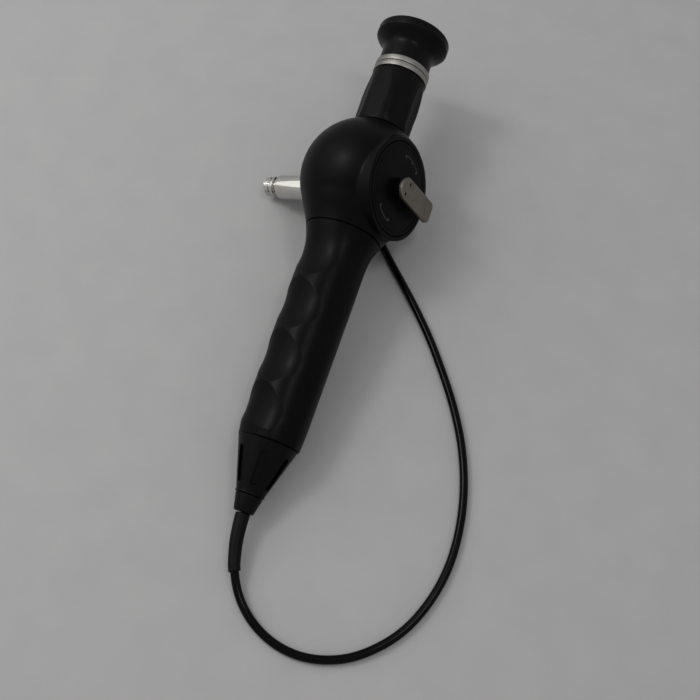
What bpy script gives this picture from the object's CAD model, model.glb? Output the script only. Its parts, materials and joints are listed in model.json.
"""Flexible endoscope on a pale table, dressed for a close view.

The CAD bodies are the frame. Visible shells are made again here with fine
rounding, and each surface has a procedural material. Lengths are in metres.
"""
import json
import math

import bmesh
import bpy
import numpy as np
from mathutils import Matrix, Vector


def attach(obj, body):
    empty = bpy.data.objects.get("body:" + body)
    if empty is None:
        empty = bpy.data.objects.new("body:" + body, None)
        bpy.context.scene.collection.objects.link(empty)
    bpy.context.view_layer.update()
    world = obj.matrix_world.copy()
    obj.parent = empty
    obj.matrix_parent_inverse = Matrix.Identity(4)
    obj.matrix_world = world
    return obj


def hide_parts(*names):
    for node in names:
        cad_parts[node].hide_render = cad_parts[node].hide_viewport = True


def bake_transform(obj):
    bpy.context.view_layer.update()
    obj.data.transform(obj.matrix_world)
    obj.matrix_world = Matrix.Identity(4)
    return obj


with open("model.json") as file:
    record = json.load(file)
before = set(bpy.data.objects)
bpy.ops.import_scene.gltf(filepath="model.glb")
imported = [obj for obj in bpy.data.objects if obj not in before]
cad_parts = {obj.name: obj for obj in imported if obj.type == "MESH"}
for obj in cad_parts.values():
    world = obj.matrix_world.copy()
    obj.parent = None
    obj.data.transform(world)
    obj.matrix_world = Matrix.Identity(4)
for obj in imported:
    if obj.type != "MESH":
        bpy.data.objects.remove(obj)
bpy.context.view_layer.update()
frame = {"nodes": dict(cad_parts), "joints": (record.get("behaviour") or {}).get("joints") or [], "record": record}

MM = 0.001
GAP = 0.3 * MM
EDGE_ANGLE = 32             # degrees; an edge that bends more stays sharp
NODE_EDGE_ANGLE = 35
ROUND_EDGE_ANGLE = 40       # for the lever and the strain relief
SOFT_EDGE_ANGLE = 50        # for the grip and the fluted ring
JOINTS = {joint["name"]: joint for joint in frame["joints"]}

# Scope frame: Z along the handle to the eyepiece, X along the control shaft
SHAFT_AXIS = Vector(JOINTS["lever_turn"]["axis"])
HANDLE_AXIS = Vector(JOINTS["diopter_turn"]["axis"])
LEVER_AXIS = HANDLE_AXIS.cross(SHAFT_AXIS)
DRUM_Z = -3.1 * MM
POST_Z = -4.3 * MM
HEAD_CENTRE = Vector(JOINTS["lever_turn"]["pos_m"]) - DRUM_Z * HANDLE_AXIS
SCOPE = Matrix((
    (SHAFT_AXIS.x, LEVER_AXIS.x, HANDLE_AXIS.x, HEAD_CENTRE.x),
    (SHAFT_AXIS.y, LEVER_AXIS.y, HANDLE_AXIS.y, HEAD_CENTRE.y),
    (SHAFT_AXIS.z, LEVER_AXIS.z, HANDLE_AXIS.z, HEAD_CENTRE.z),
    (0, 0, 0, 1)))
SIDE = SCOPE @ Matrix.Translation((0, 0, DRUM_Z)) @ Matrix.Rotation(math.pi / 2, 4, "Y")
POST = SCOPE @ Matrix.Translation((0, 0, POST_Z)) @ Matrix.Rotation(-math.pi / 2, 4, "Y")

# Camera
CAMERA_SPOT = Vector((0.06421, -0.18311, 0.38747))
CAMERA_AIM = Vector((0.02382, -0.01636, 0.0))
CAMERA_UP = Vector((-0.3034, 0.8634, 0.4032))
FOCAL_LENGTH = 51.56
SENSOR = 36.0

# Head
HEAD_R = 26.4 * MM
BALL_END_Z = -14.3 * MM
HEAD_FLARE = (             # radius and height in mm, from below the ball to past the seam
    (21.2, -16.3), (19.9, -18.9), (18.45, -21.4), (17.1, -24.0), (16.2, -26.0), (15.4, -28.5))
HEAD_SEAM_Z = -26.0 * MM
DRUM_R = 21.3 * MM
DRUM_FACE = 19.4 * MM
RIM_R = DRUM_R + 0.1 * MM
COVER_R = 19.2 * MM
COVER_T = 2.0 * MM
COVER_BORE = 2.3 * MM
GROOVE_R = 17.6 * MM
GROOVE_HALF = 0.3 * MM
GROOVE_DEPTH = 0.2 * MM
COVER_MARKS = (            # each bar's first and last angle in radians, inner radius and width in mm
    (2.55, 3.35, 14.6, 0.32), (2.55, 2.61, 13.6, 1.3), (3.29, 3.35, 13.6, 1.3), (2.91, 2.97, 13.9, 0.9),
    (5.65, 6.30, 14.6, 0.32), (5.65, 5.71, 13.6, 1.3), (6.24, 6.30, 13.6, 1.3))
PRINT_LOW = 0.01 * MM
PRINT_HIGH = 0.04 * MM
CAVITY_R = 12.8 * MM
CAVITY_BACK = 17.0 * MM
CHASSIS_SEAT = 11.0 * MM
CHASSIS_BORE = 15.3 * MM
NECK_BORE = 7.6 * MM
FOOT_BORE = 11.0 * MM
MACHINED_OFF = 2.5 * MM           # what the face cut takes off the drum
BALL_ROWS = 60
SKIN_VOXEL = 0.42 * MM
SKIN_PASSES = 24

# Light post and its adapter, measured outward from the middle of the head
POST_R = 5.3 * MM
POST_SEAT = 24.3 * MM
POST_STEM_R = 3.7 * MM            # the stem sits in the head
POST_STEM = 18.0 * MM
POST_TIP = 49.6 * MM
POST_NECK_R = 3.5 * MM
SHOULDER = POST_TIP - 7.0 * MM
LIGHT_BORE = 2.3 * MM
ADAPTER_FOOT = SHOULDER + 1.4 * MM
ADAPTER_R = 4.25 * MM
ADAPTER_NECK_R = 3.7 * MM
ADAPTER_GROOVES = 4
ADAPTER_PITCH = 0.5 * MM

# Lever side
COLLAR_R = 4.6 * MM
COLLAR_T = 1.8 * MM
SHAFT_HEAD_R = 3.5 * MM
LEVER_T = 1.7 * MM
LEVER_STAND = 2.3 * MM            # its height over the cover, clearances apart
LEVER_TOP = DRUM_FACE + LEVER_STAND + 2 * GAP + LEVER_T
LEVER_W = 9.6 * MM
LEVER_REACH = 21.0 * MM
LEVER_CORNER = 2.4 * MM
LEVER_EDGE = 0.32 * MM
LEVER_PIN_R = 0.72 * MM
LEVER_PIN_OFFSET = 2.5 * MM
LEVER_PIN_SKEW = 0.6 * MM

# Grip
GRIP_OUTLINE = (           # radius and height along the handle, in mm
    (16.1, -26.3), (15.0, -29.5), (14.2, -33.0), (13.8, -37.0), (13.7, -41.0),
    (13.7, -48.0), (13.7, -56.0), (13.6, -68.0), (13.5, -82.0), (13.35, -97.0),
    (13.2, -111.0), (12.85, -117.5))
GRIP_BORE = 10.2 * MM
GRIP_FOOT_BORE = 9.4 * MM
GRIP_FOOT_Z = -104.0 * MM
SPIGOT_R = FOOT_BORE - 0.2 * MM
SPIGOT_TOP = HEAD_SEAM_Z + 1.5 * MM
SEAM_GAP = 0.03 * MM
SEAM_LEDGE = 0.4 * MM
SCOOP_Z = (-39.6 * MM, -62.6 * MM, -85.4 * MM, -107.1 * MM, -119.8 * MM)
SCOOP_SIDE = math.radians(259.5)
SCOOP_WRAP = math.radians(64)     # from a scoop's middle round to its pointed end
SCOOP_HALF = 11.1 * MM            # half its height along the handle
SCOOP_SWEEP = 31.0 * MM           # radius of its hollow along the handle
SCOOP_POINT = 1.72                # the higher, the more pointed its ends
SCOOP_FADE = 12.5 * MM            # the top scoop runs out into the flare over this height
SCOOP_DRIFT = 1.55 * MM           # how far it climbs round the grip
SCOOP_EDGE = 0.09 * MM
GRIP_ROWS = 330
GRIP_STEPS = 336

# Nose, collar and strain relief
NOSE_TOP_Z = -117.8 * MM
NOSE_TOP_R = 12.1 * MM
NOSE_END_Z = -139.0 * MM
NOSE_END_R = 5.7 * MM
NOSE_BORE = 4.2 * MM
NOSE_SLOTS = 6
SLOT_W = 3.0 * MM
SLOT_TOP = -121.5 * MM
SLOT_LENGTH = 14.5 * MM
SLOT_DEPTH = 1.2 * MM
SLOT_TURN = math.radians(8)
COLLAR_END_Z = -146.0 * MM
COLLAR_END_R = 4.0 * MM
BOOT_TOP_R = 2.95 * MM
BOOT_END_R = 2.35 * MM
BOOT_ROWS = 100
BOOT_BEAD = 0.1 * MM
BOOT_BEAD_AT = 0.97               # places along the strain relief are shares of its length
BOOT_BEAD_SPREAD = 0.014
BOOT_ROUNDING = 0.25 * MM
TUBE_SEAT = 0.07 * MM             # clearance between the strain relief and the tube

# Eyepiece end
DIOPTER_BOTTOM_R = 11.6 * MM
DIOPTER_MID_R = 12.5 * MM
DIOPTER_TOP_R = 11.65 * MM
DIOPTER_TOP = 49.9 * MM
DIOPTER_FLUTES = 8
FLUTE_FLOOR = 11.8 * MM
FLUTE_ROLL = 30.0 * MM
FLUTE_TURN = 0.2                  # share of a pitch that the first flute is turned by
FLUTE_EDGE = 0.12 * MM
DIOPTER_ROWS = 110
DIOPTER_STEPS = 320
NECK_DEPTH = 9.0 * MM             # from the eyepiece's rim down to the end of the neck sleeve
RING_R = 12.1 * MM
RING_T = 2.35 * MM
EYE_FLANGE_R = 16.0 * MM
EYE_FLANGE_T = 3.9 * MM
EYE_FRONT = 72.1 * MM
EYE_NECK_R = 11.2 * MM
EYE_ROWS = 60
WINDOW_R = 6.0 * MM

# Insertion tube and its bending end
TUBE_R = 1.7 * MM
TUBE_BORE = 1.2 * MM
TUBE_POINTS = 160
HEAD_XY = Vector((HEAD_CENTRE.x, HEAD_CENTRE.y, 0))
TUBE_ROUTE = (             # in mm, on the table under the head's centre
    (4.2, -165.3, 4.7), (6.8, -170.3, 3.5), (11.0, -175.8, 2.4), (18.0, -181.5, 1.8),
    (28.0, -185.8, 1.72), (38.0, -186.9, 1.72), (47.6, -185.2, 1.72), (56.3, -181.3, 1.72),
    (64.1, -175.2, 1.72), (70.9, -167.4, 1.72), (76.1, -157.9, 1.72), (79.5, -147.9, 1.72),
    (81.4, -137.1, 1.72), (81.6, -126.4, 1.72), (80.6, -116.1, 1.72), (78.6, -106.0, 1.72),
    (75.6, -96.1, 1.72), (71.7, -86.4, 1.72), (66.8, -76.8, 1.72), (61.1, -67.3, 1.72),
    (54.7, -57.9, 1.72), (48.1, -48.8, 1.72), (41.3, -40.4, 1.72), (34.2, -32.3, 1.72),
    (27.0, -24.6, 1.72), (20.0, -17.2, 1.72), (13.4, -9.9, 1.72), (7.4, -2.9, 1.72),
    (2.3, 4.0, 1.72), (-1.1, 10.9, 1.72), (-2.7, 16.5, 1.72), (-3.0, 21.7, 1.72))
BOOT_ROUTE = (             # middle line of the strain relief, in mm
    (0.0, -144.6, 7.88), (0.5, -150.0, 7.02), (1.3, -155.5, 6.18), (2.6, -160.7, 5.38),
    (4.2, -165.3, 4.7), (4.6, -166.08, 4.5))
LINKS = 5
LINK_PITCH = 5.0 * MM
SKIN_CLEAR = 0.02 * MM            # the skins of the bending end stay inside the solids by this
SLEEVE_R = 1.64 * MM
SLEEVE_RIBS = 5
SLEEVE_ROWS = 24
RIB_DEPTH = 0.09 * MM
RING_START = 0.35 * MM
TIP_LENGTH = 8.5 * MM


def smooth_route(points, count):
    """Points evenly spaced along a natural cubic spline through the given ones."""
    pts = np.array(points, float)
    span = np.linalg.norm(np.diff(pts, axis=0), axis=1)
    knots = np.concatenate([[0.0], np.cumsum(span)])
    size = len(pts)
    system = np.eye(size)
    rhs = np.zeros_like(pts)
    for i in range(1, size - 1):
        system[i, i - 1] = span[i - 1]
        system[i, i] = 2 * (span[i - 1] + span[i])
        system[i, i + 1] = span[i]
        rhs[i] = 6 * ((pts[i + 1] - pts[i]) / span[i] - (pts[i] - pts[i - 1]) / span[i - 1])
    bend = np.linalg.solve(system, rhs)
    out = []
    for s in np.linspace(0, knots[-1], count):
        i = min(np.searchsorted(knots, s, side="right") - 1, size - 2)
        h = span[i]
        a = (knots[i + 1] - s) / h
        b = (s - knots[i]) / h
        curve = (a ** 3 - a) * bend[i] + (b ** 3 - b) * bend[i + 1]
        out.append(a * pts[i] + b * pts[i + 1] + curve * h * h / 6)
    return [Vector(p) for p in out]


def link(obj):
    """Put an object into the scene."""
    bpy.context.scene.collection.objects.link(obj)
    return obj


def set_camera():
    """The photograph's view."""
    data = bpy.data.cameras.new("camera")
    data.lens = FOCAL_LENGTH
    data.sensor_width = SENSOR
    data.clip_start = 0.01
    camera = link(bpy.data.objects.new("camera", data))
    back = (CAMERA_SPOT - CAMERA_AIM).normalized()
    right = CAMERA_UP.cross(back).normalized()
    up = back.cross(right)
    camera.matrix_world = Matrix((
        (right.x, up.x, back.x, CAMERA_SPOT.x), (right.y, up.y, back.y, CAMERA_SPOT.y),
        (right.z, up.z, back.z, CAMERA_SPOT.z), (0, 0, 0, 1)))
    bpy.context.scene.camera = camera


def set_floor():
    """Plain pale table top with a faint grain."""
    bpy.ops.mesh.primitive_plane_add(size=40.0)
    floor = bpy.context.object
    floor.name = "table_top"
    mat, tree, shader = new_material("table_top", (0.39, 0.385, 0.38), 0.7, specular=0.2)
    grain = noise(tree, 60.0, 9.0)
    tint = ramp(tree, grain, ((0.3, (0.380, 0.376, 0.373)), (0.7, (0.402, 0.396, 0.391))))
    tree.links.new(tint, shader.inputs["Base Color"])
    bump(tree, shader, noise(tree, 900.0, 3.0), 0.2, 0.1 * MM)
    floor.data.materials.append(mat)


def set_lights():
    """Soft studio light: a lamp and a wide panel on the left, a lamp overhead, a pale surround."""
    lamps = (
        ("key", (-0.60, 0.05, 0.80), 0.24, 1.9),
        ("panel", (-0.60, 0.03, 0.60), 1.1, 2.6),
        ("overhead", (0.26, 0.0, 0.95), 0.2, 1.0))
    for name, spot, size, power in lamps:
        data = bpy.data.lights.new(name, "AREA")
        data.shape = "DISK"
        data.size = size
        data.energy = power
        lamp = link(bpy.data.objects.new(name, data))
        lamp.location = spot
        lamp.rotation_euler = (-Vector(spot)).to_track_quat("-Z", "Y").to_euler()
    world = bpy.data.worlds.new("studio")
    world.use_nodes = True
    world.node_tree.nodes["Background"].inputs["Color"].default_value = (0.97, 0.98, 1.0, 1.0)
    world.node_tree.nodes["Background"].inputs["Strength"].default_value = 0.46
    bpy.context.scene.world = world
    bpy.context.scene.view_settings.view_transform = "Standard"


def new_material(name, color, roughness, metallic=0.0, specular=0.5):
    """A Principled material, its node tree and its shader."""
    mat = bpy.data.materials.new(name)
    mat.use_nodes = True
    tree = mat.node_tree
    shader = tree.nodes["Principled BSDF"]
    shader.inputs["Base Color"].default_value = (*color, 1.0)
    shader.inputs["Roughness"].default_value = roughness
    shader.inputs["Metallic"].default_value = metallic
    shader.inputs["Specular IOR Level"].default_value = specular
    return mat, tree, shader


def object_coords(tree, scale=(1, 1, 1)):
    """Object coordinates, stretched by a scale."""
    coords = tree.nodes.new("ShaderNodeTexCoord")
    mapping = tree.nodes.new("ShaderNodeMapping")
    mapping.inputs["Scale"].default_value = scale
    tree.links.new(coords.outputs["Object"], mapping.inputs["Vector"])
    return mapping.outputs["Vector"]


def noise(tree, scale, detail, stretch=(1, 1, 1)):
    """Noise in object space; the scale counts features in a metre."""
    node = tree.nodes.new("ShaderNodeTexNoise")
    node.inputs["Scale"].default_value = scale
    node.inputs["Detail"].default_value = detail
    tree.links.new(object_coords(tree, stretch), node.inputs["Vector"])
    return node.outputs["Fac"]


def ramp(tree, factor, stops):
    """A colour ramp over the given (position, colour) stops."""
    node = tree.nodes.new("ShaderNodeValToRGB")
    for element, (position, color) in zip(node.color_ramp.elements, stops):
        element.position = position
        element.color = (*color, 1.0)
    tree.links.new(factor, node.inputs["Fac"])
    return node.outputs["Color"]


def spread(tree, factor, low, high):
    """A factor mapped to the range from low to high."""
    node = tree.nodes.new("ShaderNodeMapRange")
    node.inputs["From Min"].default_value = 0.3
    node.inputs["From Max"].default_value = 0.7
    node.inputs["To Min"].default_value = low
    node.inputs["To Max"].default_value = high
    tree.links.new(factor, node.inputs["Value"])
    return node.outputs["Result"]


def bump(tree, shader, height, strength, distance):
    """Fine relief from a height factor."""
    node = tree.nodes.new("ShaderNodeBump")
    node.inputs["Strength"].default_value = strength
    node.inputs["Distance"].default_value = distance
    tree.links.new(height, node.inputs["Height"])
    tree.links.new(node.outputs["Normal"], shader.inputs["Normal"])


def plastic(name, dark, light, rough, specular=0.25, grain=2600.0, relief=0.12):
    """Moulded plastic with a fine grain, slight colour drift and uneven gloss."""
    mat, tree, shader = new_material(name, dark, rough[0], specular=specular)
    tree.links.new(ramp(tree, noise(tree, 60.0, 6.0), ((0.35, dark), (0.7, light))),
                   shader.inputs["Base Color"])
    tree.links.new(spread(tree, noise(tree, 240.0, 8.0), *rough), shader.inputs["Roughness"])
    bump(tree, shader, noise(tree, grain, 3.0), relief, 0.05 * MM)
    return mat


def metal(name, dark, light, rough, stretch=(1, 1, 1), grain=900.0, relief=0.1):
    """Metal with a brushed or turned finish."""
    mat, tree, shader = new_material(name, dark, rough[0], metallic=1.0)
    tree.links.new(ramp(tree, noise(tree, 160.0, 6.0), ((0.35, dark), (0.7, light))),
                   shader.inputs["Base Color"])
    tree.links.new(spread(tree, noise(tree, grain, 6.0, stretch), *rough),
                   shader.inputs["Roughness"])
    bump(tree, shader, noise(tree, grain, 4.0, stretch), relief, 0.02 * MM)
    return mat


def glass(name):
    """Coated optical glass."""
    mat, tree, shader = new_material(name, (0.86, 0.90, 0.95), 0.03)
    shader.inputs["Transmission Weight"].default_value = 0.92
    shader.inputs["IOR"].default_value = 1.52
    tint = ((0.4, (0.80, 0.86, 0.95)), (0.6, (0.90, 0.93, 0.96)))
    tree.links.new(ramp(tree, noise(tree, 300.0, 3.0), tint), shader.inputs["Base Color"])
    return mat


TURNED = (0.04, 0.04, 1)   # stretch of the fine rings that a lathe leaves
BRUSHED = (1, 0.05, 1)
MATS = {
    "shell_black": plastic("shell_black", (0.0012, 0.0011, 0.0015), (0.0019, 0.0018, 0.0022),
                           (0.34, 0.41), 0.075),
    "cover_black": plastic("cover_black", (0.0010, 0.0009, 0.0011), (0.0016, 0.0015, 0.0017),
                           (0.42, 0.50), 0.07),
    "nose_black": plastic("nose_black", (0.0011, 0.0010, 0.0013), (0.0018, 0.0017, 0.0020),
                          (0.36, 0.44), 0.10),
    "eyepiece_black": plastic("eyepiece_black", (0.0011, 0.0010, 0.0012), (0.0018, 0.0017, 0.0019),
                              (0.30, 0.38), 0.11),
    "boot_rubber": plastic("boot_rubber", (0.0016, 0.0015, 0.0017), (0.0026, 0.0025, 0.0027),
                           (0.38, 0.46), 0.11, 1800.0, 0.2),
    "tube_black": plastic("tube_black", (0.0005, 0.0005, 0.0005), (0.0010, 0.0010, 0.0010),
                          (0.15, 0.22), 0.10, 3000.0, 0.08),
    "lever_steel": metal("lever_steel", (0.17, 0.150, 0.128), (0.22, 0.20, 0.172),
                         (0.42, 0.56), BRUSHED),
    "bright_metal": metal("bright_metal", (0.60, 0.58, 0.54), (0.70, 0.68, 0.64),
                          (0.16, 0.30), TURNED, 4000.0),
    "plain_steel": metal("plain_steel", (0.42, 0.42, 0.42), (0.52, 0.52, 0.52), (0.28, 0.40), TURNED),
    "bearing_brass": metal("bearing_brass", (0.62, 0.46, 0.22), (0.72, 0.55, 0.28), (0.30, 0.42), TURNED),
    "optical_glass": glass("optical_glass")}
POLISHED = metal("polished", (0.56, 0.54, 0.50), (0.64, 0.62, 0.58),
                 (0.07, 0.15), TURNED, 700.0, 0.02)
RING_METAL = metal("ring_metal", (0.27, 0.262, 0.24), (0.34, 0.33, 0.30),
                   (0.34, 0.46), TURNED, 5000.0, 0.2)
DARK_STEEL = metal("dark_steel", (0.05, 0.05, 0.05), (0.07, 0.07, 0.07), (0.40, 0.50))
PRINT_GREY = plastic("print_grey", (0.040, 0.040, 0.042), (0.055, 0.055, 0.058), (0.55, 0.65))


def smooth_faces(mesh, angle):
    """Smooth shading, apart from edges that bend more than the angle."""
    mesh.shade_smooth()
    mesh.set_sharp_from_angle(angle=math.radians(angle))


def dress_nodes():
    """Give every CAD node its procedural material."""
    for row in frame["record"]["subparts"]:
        node = frame["nodes"][row["node"]]
        node.data.materials.clear()
        node.data.materials.append(MATS[row["material_slot"]])
        smooth_faces(node.data, NODE_EDGE_ANGLE)
    for name in ("lever_pin_1", "lever_pin_2", "control_shaft"):
        frame["nodes"][name].data.materials[0] = DARK_STEEL


def fit(obj, slot, body, *nodes, mat=None):
    """Give a new piece its material and its body, in place of CAD nodes."""
    obj.data.materials.clear()
    obj.data.materials.append(mat or MATS[slot])
    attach(obj, body)
    if nodes:
        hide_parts(*nodes)
    return obj


def shell(name, verts, faces, matrix, angle=EDGE_ANGLE):
    """A mesh piece with smooth shading and sharp machined edges."""
    mesh = bpy.data.meshes.new(name)
    mesh.from_pydata([tuple(v) for v in verts], [], faces)
    bm = bmesh.new()
    bm.from_mesh(mesh)
    bmesh.ops.remove_doubles(bm, verts=bm.verts, dist=1e-7)
    bmesh.ops.dissolve_degenerate(bm, edges=bm.edges, dist=1e-7)
    bmesh.ops.recalc_face_normals(bm, faces=bm.faces)
    bm.to_mesh(mesh)
    bm.free()
    smooth_faces(mesh, angle)
    obj = link(bpy.data.objects.new(name, mesh))
    obj.matrix_world = matrix
    return obj


def rounded(outline, radius, steps=3):
    """A closed outline with its corners rounded, apart from those on the axis."""
    out = []
    count = len(outline)
    for i, corner in enumerate(outline):
        here = Vector(corner)
        if here.x < 1e-6:
            out.append(tuple(here))
            continue
        ends = []
        for other in (Vector(outline[i - 1]), Vector(outline[(i + 1) % count])):
            away = other - here
            ends.append(here + away.normalized() * min(radius, 0.45 * away.length))
        for k in range(steps + 1):
            t = k / steps
            out.append(tuple((1 - t) ** 2 * ends[0] + 2 * t * (1 - t) * here + t ** 2 * ends[1]))
    return out


def turned(name, outline, matrix, steps=144, shape=None, angle=EDGE_ANGLE):
    """A closed outline of (radius, height) turned about Z.

    A shape function may change the radius from the radius, height and angle.
    """
    count = len(outline)
    radius = np.array([p[0] for p in outline])[:, None] * np.ones(steps)[None, :]
    height = np.array([p[1] for p in outline])[:, None] * np.ones(steps)[None, :]
    turn = (np.arange(steps) * 2 * math.pi / steps)[None, :] * np.ones(count)[:, None]
    if shape:
        radius = shape(radius, height, turn)
    verts = np.stack([radius * np.cos(turn), radius * np.sin(turn), height], axis=-1)
    faces = []
    for i in range(count):
        row, below = i * steps, (i + 1) % count * steps
        for j in range(steps):
            k = (j + 1) % steps
            faces.append((row + j, row + k, below + k, below + j))
    return shell(name, verts.reshape(-1, 3), faces, matrix, angle)


def applied(obj):
    """Put the result of an object's modifiers into its mesh."""
    graph = bpy.context.evaluated_depsgraph_get()
    mesh = bpy.data.meshes.new_from_object(obj.evaluated_get(graph))
    obj.modifiers.clear()
    obj.data = mesh
    return obj


def cut(obj, cutter):
    """Take a cutter's form out of an object."""
    step = obj.modifiers.new("cut", "BOOLEAN")
    step.operation = "DIFFERENCE"
    step.solver = "EXACT"
    step.object = cutter
    applied(obj)
    bpy.data.objects.remove(cutter, do_unlink=True)


def smooth_step(value, low, high):
    """0 below low, 1 above high, with a smooth rise between."""
    t = np.clip((value - low) / (high - low), 0.0, 1.0)
    return t * t * (3 - 2 * t)


def smooth_min(a, b, soft):
    """The smaller of two values, rounded off where they meet."""
    mix = np.clip(0.5 + 0.5 * (b - a) / soft, 0.0, 1.0)
    return b * (1 - mix) + a * mix - soft * mix * (1 - mix)


def build_head():
    """Head shell: ball, flare and drum flowing into each other, then machined."""
    end = math.acos(BALL_END_Z / HEAD_R)
    turns = [end * i / BALL_ROWS for i in range(BALL_ROWS + 1)]
    ball = [(HEAD_R * math.sin(turn), HEAD_R * math.cos(turn)) for turn in turns]
    flare = [(r * MM, z * MM) for r, z in HEAD_FLARE]
    body = turned("head_skin", ball + flare + [(0, flare[-1][1])], SCOPE, steps=180)
    over = DRUM_FACE + MACHINED_OFF
    drum = turned("drum_form", [
        (0, 0), (0.8 * DRUM_R, 3 * MM), (DRUM_R, 8 * MM), (DRUM_R, over), (0, over)], SIDE, steps=180)
    drum.data.transform(SCOPE.inverted() @ SIDE)
    bm = bmesh.new()
    bm.from_mesh(body.data)
    bm.from_mesh(drum.data)
    bm.to_mesh(body.data)
    bm.free()
    bpy.data.objects.remove(drum, do_unlink=True)
    skin = body.modifiers.new("skin", "REMESH")
    skin.mode = "VOXEL"
    skin.voxel_size = SKIN_VOXEL
    relax = body.modifiers.new("relax", "SMOOTH")
    relax.factor = 0.5
    relax.iterations = SKIN_PASSES
    applied(body)
    ledge = DRUM_FACE - COVER_T - GAP
    cut(body, turned("face_cut", [
        (0, -CAVITY_BACK), (0.6 * CAVITY_R, -CAVITY_BACK), (CAVITY_R, -0.5 * CAVITY_BACK),
        (CAVITY_R, CHASSIS_SEAT), (CHASSIS_BORE, CHASSIS_SEAT), (CHASSIS_BORE, ledge),
        (COVER_R + GAP, ledge), (COVER_R + GAP, DRUM_FACE - 0.25 * MM),
        (COVER_R + 1.6 * GAP, DRUM_FACE), (RIM_R - 0.65 * MM, DRUM_FACE),
        (RIM_R - 0.3 * MM, DRUM_FACE - 0.1 * MM), (RIM_R - 0.08 * MM, DRUM_FACE - 0.3 * MM),
        (RIM_R, DRUM_FACE - 0.55 * MM), (RIM_R + 1.3 * MM, DRUM_FACE - 0.2 * MM),
        (RIM_R + 6 * MM, 2 * DRUM_FACE), (0, 2 * DRUM_FACE)], SIDE, steps=128))
    cut(body, turned("neck_bore", [
        (0, 0), (NECK_BORE, 0), (NECK_BORE, 2 * HEAD_R), (0, 2 * HEAD_R)], SCOPE, steps=96))
    cut(body, turned("foot_cut", rounded([
        (0, 2 * HEAD_SEAM_Z), (2 * HEAD_R, 2 * HEAD_SEAM_Z), (2 * HEAD_R, HEAD_SEAM_Z),
        (FOOT_BORE, HEAD_SEAM_Z), (FOOT_BORE, DRUM_Z), (0, DRUM_Z)], 0.01 * MM), SCOPE, steps=96))
    cut(body, turned("post_bore", [
        (0, 10 * MM), (POST_STEM_R + GAP, 10 * MM), (POST_STEM_R + GAP, POST_SEAT),
        (POST_R + GAP, POST_SEAT), (POST_R + GAP, 2 * HEAD_R), (0, 2 * HEAD_R)], POST, steps=96))
    smooth_faces(body.data, EDGE_ANGLE)
    fit(body, "shell_black", "scope_body", "head_shell")


def build_cover():
    """Side cover with a fine groove."""
    top = DRUM_FACE
    low = DRUM_FACE - COVER_T
    cover = turned("cover_skin", rounded([
        (COVER_BORE, low), (COVER_BORE, top), (GROOVE_R - GROOVE_HALF, top),
        (GROOVE_R - GROOVE_HALF / 2, top - GROOVE_DEPTH), (GROOVE_R + GROOVE_HALF / 2, top - GROOVE_DEPTH),
        (GROOVE_R + GROOVE_HALF, top), (COVER_R, top), (COVER_R, low)], 0.18 * MM), SIDE, steps=180)
    fit(cover, "cover_black", "scope_body", "side_cover")


def build_marks():
    """Plain printed arcs with end ticks on the cover, each bar a thin curved box."""
    verts = []
    faces = []
    for start, end, radius, width in COVER_MARKS:
        steps = max(2, int((end - start) * 24))
        base = len(verts)
        for i in range(steps + 1):
            turn = start + (end - start) * i / steps
            for r in (radius, radius + width):
                for z in (DRUM_FACE + PRINT_LOW, DRUM_FACE + PRINT_HIGH):
                    verts.append((r * MM * math.cos(turn), r * MM * math.sin(turn), z))
        for i in range(steps):
            a = base + 4 * i
            b = a + 4
            faces += [(a, b, b + 1, a + 1), (a + 1, b + 1, b + 3, a + 3),
                      (a + 3, b + 3, b + 2, a + 2), (a + 2, b + 2, b, a)]
        last = base + 4 * steps
        faces += [(base, base + 1, base + 3, base + 2), (last, last + 2, last + 3, last + 1)]
    fit(shell("cover_marks", verts, faces, SIDE), "cover_black", "scope_body", mat=PRINT_GREY)


def build_shaft_collar():
    """Collar round the shaft's head, on the cover."""
    bore = SHAFT_HEAD_R + GAP
    foot = DRUM_FACE + 0.1 * MM
    face = DRUM_FACE + GAP + COLLAR_T
    collar = turned("collar_skin", rounded([
        (bore, foot), (COLLAR_R, foot), (COLLAR_R, face), (bore, face)], 0.3 * MM), SIDE, steps=96)
    fit(collar, "cover_black", "scope_body", "shaft_collar")


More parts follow.
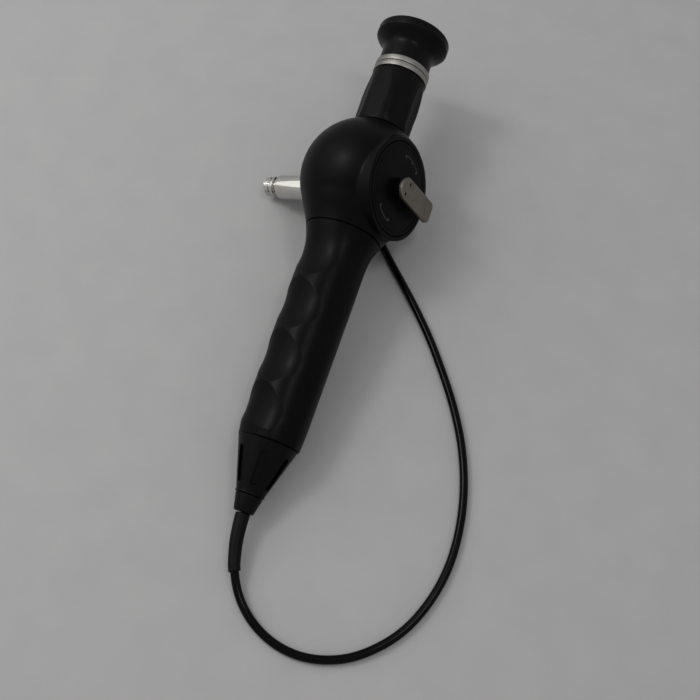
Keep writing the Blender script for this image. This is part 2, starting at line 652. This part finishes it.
def build_lever():
    """Thumb lever with rounded edges and two pin holes."""
    half = LEVER_W / 2
    outline = [(half * math.cos(a), half * math.sin(a)) for a in np.linspace(math.pi, 2 * math.pi, 41)]
    for sx, start in ((1, 0.0), (-1, 0.5 * math.pi)):
        for a in np.linspace(start, start + 0.5 * math.pi, 13):
            outline.append((sx * (half - LEVER_CORNER) + LEVER_CORNER * math.cos(a),
                            LEVER_REACH - LEVER_CORNER + LEVER_CORNER * math.sin(a)))
    mesh = bpy.data.meshes.new("lever_skin")
    bm = bmesh.new()
    floor = bm.faces.new([bm.verts.new((x, y, LEVER_TOP - LEVER_T)) for x, y in outline])
    raised = bmesh.ops.extrude_face_region(bm, geom=[floor])
    top = [g for g in raised["geom"] if isinstance(g, bmesh.types.BMVert)]
    bmesh.ops.translate(bm, vec=(0, 0, LEVER_T), verts=top)
    bmesh.ops.recalc_face_normals(bm, faces=bm.faces)
    rims = [e for e in bm.edges if abs(e.verts[0].co.z - e.verts[1].co.z) < 1e-7]
    bmesh.ops.bevel(bm, geom=rims, offset=LEVER_EDGE, segments=3, affect="EDGES", profile=0.5)
    bm.to_mesh(mesh)
    bm.free()
    lever = link(bpy.data.objects.new("lever_skin", mesh))
    lever.matrix_world = SIDE
    low = LEVER_TOP - 2 * LEVER_T
    high = LEVER_TOP + MM
    for sign in (1, -1):
        spot = Matrix.Translation((-sign * LEVER_PIN_OFFSET, sign * LEVER_PIN_SKEW, 0))
        cut(lever, turned("pin_hole", [
            (0, low), (LEVER_PIN_R, low), (LEVER_PIN_R, LEVER_TOP - 0.08 * MM),
            (LEVER_PIN_R + 1.1 * MM, high), (0, high)], SIDE @ spot, steps=32))
    smooth_faces(lever.data, ROUND_EDGE_ANGLE)
    fit(lever, "lever_steel", "lever", "lever_plate")


def build_post():
    """Polished light post with its chamfered shoulder."""
    seat = POST_SEAT + GAP
    post = turned("post_skin", rounded([
        (LIGHT_BORE, POST_STEM), (POST_STEM_R, POST_STEM), (POST_STEM_R, seat), (POST_R + 0.15 * MM, seat),
        (POST_R, SHOULDER - 0.5 * MM), (POST_R - 0.7 * MM, SHOULDER + 0.5 * MM),
        (POST_NECK_R + 0.1 * MM, SHOULDER + 0.6 * MM), (POST_NECK_R, ADAPTER_FOOT),
        (LIGHT_BORE, ADAPTER_FOOT)], 0.12 * MM), POST)
    fit(post, "bright_metal", "scope_body", "light_post", mat=POLISHED)


def build_adapter():
    """Adapter at the post's end: a collar, a neck and a head with fine turned grooves."""
    low = ADAPTER_FOOT
    outline = [
        (LIGHT_BORE, low + 0.1 * MM), (POST_NECK_R, low + 0.1 * MM), (4.2 * MM, low + 0.5 * MM),
        (4.55 * MM, low + 0.7 * MM), (4.55 * MM, low + 1.9 * MM), (ADAPTER_NECK_R, low + 2.2 * MM),
        (ADAPTER_NECK_R, low + 2.9 * MM), (ADAPTER_R, low + 3.2 * MM)]
    for i in range(ADAPTER_GROOVES):
        z = low + 3.5 * MM + i * ADAPTER_PITCH
        outline += [(ADAPTER_R, z), (ADAPTER_R - 0.13 * MM, z + 0.1 * MM),
                    (ADAPTER_R - 0.13 * MM, z + 0.2 * MM), (ADAPTER_R, z + 0.3 * MM)]
    outline += [(4.2 * MM, POST_TIP - 0.3 * MM), (3.9 * MM, POST_TIP), (LIGHT_BORE, POST_TIP)]
    adapter = turned("adapter_skin", rounded(outline, 0.06 * MM, 2), POST)
    fit(adapter, "bright_metal", "scope_body", "light_adapter", mat=POLISHED)


def grip_shape(radius, height, turn):
    """Leaf-shaped finger scoops with crisp edges; the top one fades into the flare."""
    side = (turn - SCOOP_SIDE + math.pi) % (2 * math.pi) - math.pi
    t = np.abs(side) / SCOOP_WRAP * math.pi / 2
    # The leaf is 1 in a scoop's middle, 0 at its pointed ends and negative past them
    inside = np.cos(np.minimum(t, math.pi / 2)) ** SCOOP_POINT
    leaf = np.where(t < math.pi / 2, inside, math.pi / 2 - t)
    out = radius
    for centre in SCOOP_Z:
        along = height - centre + SCOOP_DRIFT * np.sin(side)
        depth = (SCOOP_HALF ** 2 * leaf - along ** 2) / (2 * SCOOP_SWEEP)
        if centre == SCOOP_Z[0]:
            deepest = SCOOP_HALF ** 2 * leaf / (2 * SCOOP_SWEEP)
            depth = np.where(along > 0, deepest * (1 - smooth_step(along, 0, SCOOP_FADE)), depth)
        out = smooth_min(out, radius - depth, SCOOP_EDGE)
    return np.where(radius > GRIP_BORE + MM, out, radius)


def build_grip():
    """Grip shell with its finger scoops, and a spigot that goes up into the head."""
    outer = [(p.x * MM, p.y * MM) for p in smooth_route(GRIP_OUTLINE, GRIP_ROWS)]
    top_r = outer[0][0] - 0.25 * MM
    outer[0] = (top_r, outer[0][1])
    outer[-1] = (outer[-1][0] - 0.1 * MM, outer[-1][1])
    inner = [(GRIP_FOOT_BORE, outer[-1][1]), (GRIP_FOOT_BORE, GRIP_FOOT_Z),
             (GRIP_BORE, GRIP_FOOT_Z + MM), (GRIP_BORE, SPIGOT_TOP), (SPIGOT_R, SPIGOT_TOP),
             (SPIGOT_R, HEAD_SEAM_Z - SEAM_GAP), (top_r - SEAM_LEDGE, HEAD_SEAM_Z - SEAM_GAP)]
    grip = turned("grip_skin", outer + inner, SCOPE, steps=GRIP_STEPS, shape=grip_shape,
                  angle=SOFT_EDGE_ANGLE)
    fit(grip, "shell_black", "scope_body", "grip_shell")


def slot_form(matrix):
    """A long round-ended block for cutting a slot; X points out of the surface."""
    half = SLOT_W / 2
    reach = (SLOT_LENGTH - SLOT_W) / 2
    outline = []
    for end, start in ((1, 0.0), (-1, math.pi)):
        for turn in np.linspace(start, start + math.pi, 13):
            outline.append((half * math.cos(turn), end * reach + half * math.sin(turn)))
    count = len(outline)
    verts = [(x, y, z) for x in (-SLOT_DEPTH, 2 * MM) for y, z in outline]
    faces = [tuple(range(count)), tuple(range(count, 2 * count))]
    faces += [(i, (i + 1) % count, count + (i + 1) % count, count + i) for i in range(count)]
    return shell("slot_form", verts, faces, matrix)


def build_nose():
    """Nose cone with six slots and an end bead."""
    top = NOSE_TOP_Z
    end = NOSE_END_Z
    nose = turned("nose_skin", [
        (NOSE_TOP_R - 0.12 * MM, top), (NOSE_TOP_R + 0.02 * MM, top - 0.15 * MM),
        (NOSE_END_R + 0.1 * MM, end + 0.9 * MM), (NOSE_END_R + 0.28 * MM, end + 0.75 * MM),
        (NOSE_END_R + 0.3 * MM, end + 0.35 * MM), (NOSE_END_R + 0.12 * MM, end + 0.08 * MM),
        (NOSE_END_R - 0.1 * MM, end), (NOSE_BORE, end), (NOSE_BORE, top)], SCOPE, steps=180)
    middle = SLOT_TOP - SLOT_LENGTH / 2
    slope = (NOSE_TOP_R - NOSE_END_R) / (top - end)
    radius = NOSE_END_R + slope * (middle - end)
    lean = Matrix.Translation((radius, 0, middle)) @ Matrix.Rotation(math.atan(slope), 4, "Y")
    for i in range(NOSE_SLOTS):
        turn = Matrix.Rotation(2 * math.pi * i / NOSE_SLOTS + SLOT_TURN, 4, "Z")
        cut(nose, slot_form(SCOPE @ turn @ lean))
    smooth_faces(nose.data, EDGE_ANGLE)
    fit(nose, "nose_black", "scope_body", "nose_cone")


def build_tube_collar():
    """Tapered collar between the nose and the strain relief."""
    start = NOSE_END_Z - GAP
    collar = turned("tube_collar_skin", rounded([
        (TUBE_BORE, start), (NOSE_END_R - 0.15 * MM, start), (NOSE_END_R - 0.35 * MM, start - 0.9 * MM),
        (COLLAR_END_R, COLLAR_END_Z), (TUBE_BORE, COLLAR_END_Z)], 0.3 * MM), SCOPE)
    fit(collar, "nose_black", "scope_body", "tube_collar")


def swept(name, line, rows, steps=40):
    """A round solid along a gently bending line, from rows of (place on the line, radius)."""
    verts = []
    faces = []
    for i, radius in rows:
        ahead = (line[min(i + 1, len(line) - 1)] - line[max(i - 1, 0)]).normalized()
        across = ahead.cross(Vector((0, 0, 1))).normalized()
        up = across.cross(ahead)
        for j in range(steps):
            turn = 2 * math.pi * j / steps
            verts.append(line[i] + radius * (math.cos(turn) * across + math.sin(turn) * up))
    for i in range(len(rows) - 1):
        for j in range(steps):
            k = (j + 1) % steps
            faces.append((i * steps + j, i * steps + k, (i + 1) * steps + k, (i + 1) * steps + j))
    faces.append(tuple(range(steps)))
    faces.append(tuple(range((len(rows) - 1) * steps, len(rows) * steps)))
    return shell(name, verts, faces, Matrix.Identity(4), ROUND_EDGE_ANGLE)


def build_boot():
    """Tapered strain relief with a bead at its foot, where it sleeves the tube."""
    line = [HEAD_XY + p * MM for p in smooth_route(BOOT_ROUTE, BOOT_ROWS)]
    last = BOOT_ROWS - 1
    rows = []
    for i in range(BOOT_ROWS):
        t = i / last
        radius = BOOT_TOP_R + (BOOT_END_R - BOOT_TOP_R) * t
        bead = BOOT_BEAD * math.exp(-((t - BOOT_BEAD_AT) / BOOT_BEAD_SPREAD) ** 2)
        ends = BOOT_ROUNDING * (math.exp(-t / 0.008) + math.exp((t - 1) / 0.006))
        rows.append((i, radius + bead - ends))
    rows += [(place, TUBE_R + TUBE_SEAT) for place in (last, last - 4, last - 8)]
    fit(swept("boot_skin", line, rows), "boot_rubber", "scope_body", "strain_relief")


def diopter_shape(radius, height, turn):
    """Shallow flutes left by a wide roller, with narrow lands between them."""
    pitch = 2 * math.pi / DIOPTER_FLUTES
    off = ((turn - FLUTE_TURN * pitch + pitch / 2) % pitch) - pitch / 2
    reach = FLUTE_FLOOR + FLUTE_ROLL
    flute = reach * np.cos(off) - np.sqrt(FLUTE_ROLL ** 2 - (reach * np.sin(off)) ** 2)
    return np.where(radius > NECK_BORE + 2 * MM, smooth_min(radius, flute, FLUTE_EDGE), radius)


def build_diopter():
    """Fluted diopter ring, hollowed at its foot to follow the ball."""
    bottom = math.sqrt(HEAD_R ** 2 - DIOPTER_BOTTOM_R ** 2) + GAP
    inner_bottom = math.sqrt(HEAD_R ** 2 - NECK_BORE ** 2) + GAP
    length = DIOPTER_TOP - bottom
    side = smooth_route([
        (DIOPTER_BOTTOM_R, bottom + 0.1 * MM), (DIOPTER_BOTTOM_R + 0.2 * MM, bottom + 0.6 * MM),
        (DIOPTER_MID_R - 0.15 * MM, bottom + 0.26 * length), (DIOPTER_MID_R, bottom + 0.48 * length),
        (DIOPTER_MID_R - 0.25 * MM, bottom + 0.72 * length), (DIOPTER_TOP_R, DIOPTER_TOP - 0.35 * MM)],
        DIOPTER_ROWS)
    outline = [(DIOPTER_BOTTOM_R - 0.15 * MM, bottom)] + [tuple(p) for p in side] + [
        (DIOPTER_TOP_R - 0.25 * MM, DIOPTER_TOP), (NECK_BORE, DIOPTER_TOP), (NECK_BORE, inner_bottom)]
    diopter = turned("diopter_skin", outline, SCOPE, steps=DIOPTER_STEPS, shape=diopter_shape,
                     angle=SOFT_EDGE_ANGLE)
    fit(diopter, "nose_black", "diopter", "diopter_ring")


def build_trim_rings():
    """Two satin rings between the diopter ring and the eyepiece."""
    low = DIOPTER_TOP + GAP
    for name, z in (("lower", low), ("upper", low + RING_T + GAP)):
        top = z + RING_T
        ring = turned(f"trim_{name}_skin", rounded([
            (NECK_BORE, z), (RING_R, z), (RING_R, top), (NECK_BORE, top)], 0.22 * MM), SCOPE)
        fit(ring, "bright_metal", "scope_body", f"trim_ring_{name}", mat=RING_METAL)


def build_eyepiece():
    """Flared eyepiece with its rim, a shallow dish and a seat for the window."""
    cup_low = DIOPTER_TOP + GAP + 2 * (RING_T + GAP)
    back = EYE_FRONT - EYE_FLANGE_T
    sleeve_top = EYE_FRONT - NECK_DEPTH + GAP
    seat = back + 0.2 * MM
    flare = smooth_route([
        (EYE_NECK_R, cup_low + 0.5 * MM), (EYE_NECK_R, back - 8.0 * MM),
        (EYE_NECK_R + 0.05 * MM, back - 6.0 * MM),
        (EYE_NECK_R + 0.4 * MM, back - 4.6 * MM), (EYE_NECK_R + 1.3 * MM, back - 3.3 * MM),
        (EYE_NECK_R + 2.5 * MM, back - 2.1 * MM), (EYE_NECK_R + 3.8 * MM, back - 0.9 * MM),
        (EYE_FLANGE_R - 0.15 * MM, back + 0.1 * MM)], EYE_ROWS)
    rim = [(EYE_FLANGE_R, back + 0.3 * MM), (EYE_FLANGE_R, EYE_FRONT - 0.6 * MM),
           (EYE_FLANGE_R - 0.2 * MM, EYE_FRONT - 0.2 * MM),
           (EYE_FLANGE_R - 0.6 * MM, EYE_FRONT), (EYE_FLANGE_R - 3.4 * MM, EYE_FRONT),
           (EYE_FLANGE_R - 4.1 * MM, EYE_FRONT - 0.5 * MM), (WINDOW_R + 1.4 * MM, seat + 1.1 * MM),
           (WINDOW_R - 0.6 * MM, seat + 0.5 * MM), (WINDOW_R - 0.9 * MM, seat + 0.3 * MM),
           (WINDOW_R - 0.9 * MM, seat), (WINDOW_R + GAP, seat), (WINDOW_R + GAP, sleeve_top),
           (NECK_BORE, sleeve_top), (NECK_BORE, cup_low), (EYE_NECK_R - 0.3 * MM, cup_low)]
    outline = [tuple(p) for p in flare] + rounded(rim, 0.15 * MM)[2:]
    cup = turned("eyepiece_skin", outline, SCOPE, steps=180)
    fit(cup, "eyepiece_black", "scope_body", "eyepiece_cup")


def build_bending_end():
    """Ribbed rubber sleeves over the hinged links, the rear ring and the distal tip."""
    pieces = []
    hinges = [Vector(JOINTS[f"bend_{i}"]["pos_m"]) for i in range(1, LINKS + 2)]
    along = (hinges[1] - hinges[0]).normalized()
    lay = Matrix.Rotation(-math.pi / 2, 4, "X")
    half = LINK_PITCH / 2 - SKIN_CLEAR
    outline = [(TUBE_BORE, -half)]
    for k in range(SLEEVE_ROWS + 1):
        z = -half + 2 * half * k / SLEEVE_ROWS
        rib = math.cos(2 * math.pi * z / LINK_PITCH * SLEEVE_RIBS) ** 8
        outline.append((SLEEVE_R - RIB_DEPTH * rib, z))
    outline.append((TUBE_BORE, half))
    for i, spot in enumerate(hinges):
        sleeve = turned(f"sleeve_skin_{i + 1}", outline, Matrix.Translation(spot) @ lay, steps=40)
        sleeve.data.materials.append(MATS["boot_rubber"])
        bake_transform(sleeve)
        if i < LINKS:
            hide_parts(f"bend_link_{i + 1}")
        pieces.append(sleeve)
    start = hinges[0] - LINK_PITCH * along
    skin_r = TUBE_R - SKIN_CLEAR
    ring = turned("base_ring_skin", rounded([
        (TUBE_BORE, RING_START), (skin_r, RING_START), (skin_r, half), (TUBE_BORE, half)],
        0.15 * MM), Matrix.Translation(start) @ lay, steps=48)
    pieces.append(fit(ring, "plain_steel", "scope_body", "base_ring"))
    foot = LINK_PITCH / 2
    face = TIP_LENGTH - SKIN_CLEAR
    tip = turned("tip_skin", rounded([
        (0, foot), (skin_r, foot), (skin_r, face), (0, face)],
        0.28 * MM), Matrix.Translation(hinges[-1]) @ lay, steps=48)
    pieces.append(fit(tip, "plain_steel", "tip", "distal_tip"))
    return pieces


def build_tube(tail):
    """The insertion tube, from the strain relief to the bending end."""
    points = [HEAD_XY + p * MM for p in smooth_route(TUBE_ROUTE, TUBE_POINTS)]
    curve = bpy.data.curves.new("tube_sheath", "CURVE")
    curve.dimensions = "3D"
    curve.bevel_depth = TUBE_R
    curve.bevel_resolution = 8
    curve.use_fill_caps = True
    spline = curve.splines.new("POLY")
    spline.points.add(len(points) - 1)
    for place, point in zip(spline.points, points):
        place.co = (*point, 1.0)
    sheath = link(bpy.data.objects.new("tube_sheath", curve))
    fit(sheath, "tube_black", "scope_body", "insertion_tube")


set_camera()
set_floor()
set_lights()
dress_nodes()
build_tube(build_bending_end())
build_head()
build_cover()
build_marks()
build_shaft_collar()
build_lever()
build_post()
build_adapter()
build_grip()
build_nose()
build_tube_collar()
build_boot()
build_diopter()
build_trim_rings()
build_eyepiece()
